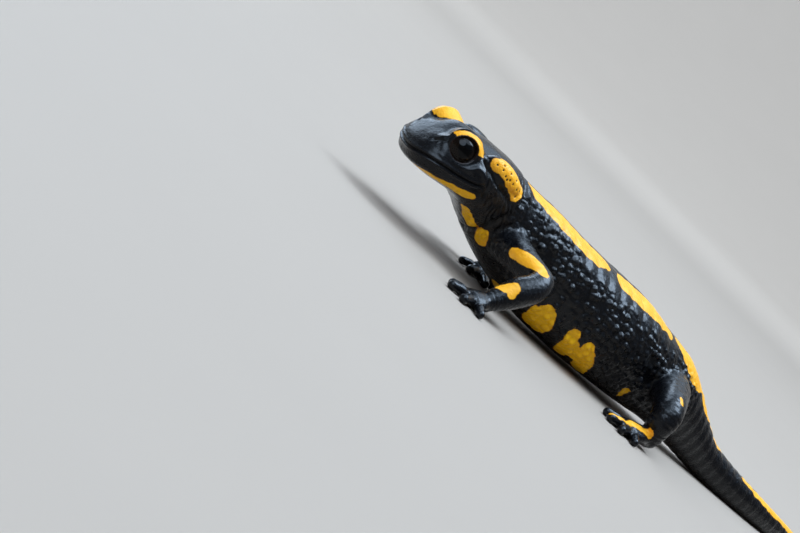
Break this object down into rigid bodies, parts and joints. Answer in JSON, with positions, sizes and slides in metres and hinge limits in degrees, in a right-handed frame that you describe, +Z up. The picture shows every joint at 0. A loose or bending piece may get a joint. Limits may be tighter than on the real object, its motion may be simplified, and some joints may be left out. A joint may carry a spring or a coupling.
{
  "type": "fire salamander model",
  "caption": "Life-size still model of a fire salamander in a climbing pose: glossy black granular skin with yellow-orange stripes and patches, dark eyes.",
  "frame": {"origin": "on the ground plane, under the middle of the model's box", "axes": "+Z up, away from the surface the animal stands on; the head faces -Y and the tail runs to +Y; +X is the animal's left side"},
  "size_m": [0.0652, 0.1744, 0.0228],
  "materials": {
    "skin": "wet, glossy, finely granular black skin with yellow-orange stripes and patches",
    "eye": "wet, mirror-like, almost black"
  },
  "bodies": {
    "root": {"head": "skin", "lower_jaw": "skin", "neck": "skin", "trunk_front": "skin", "trunk_rear": "skin", "tail_base": "skin", "tail_middle": "skin", "tail_tip": "skin", "left_upper_arm": "skin", "left_forearm": "skin", "left_hand": "skin", "right_upper_arm": "skin", "right_forearm": "skin", "right_hand": "skin", "left_thigh": "skin", "left_shank": "skin", "left_foot": "skin", "right_thigh": "skin", "right_shank": "skin", "right_foot": "skin", "eye_left": "eye", "eye_right": "eye"}
  },
  "joints": []
}
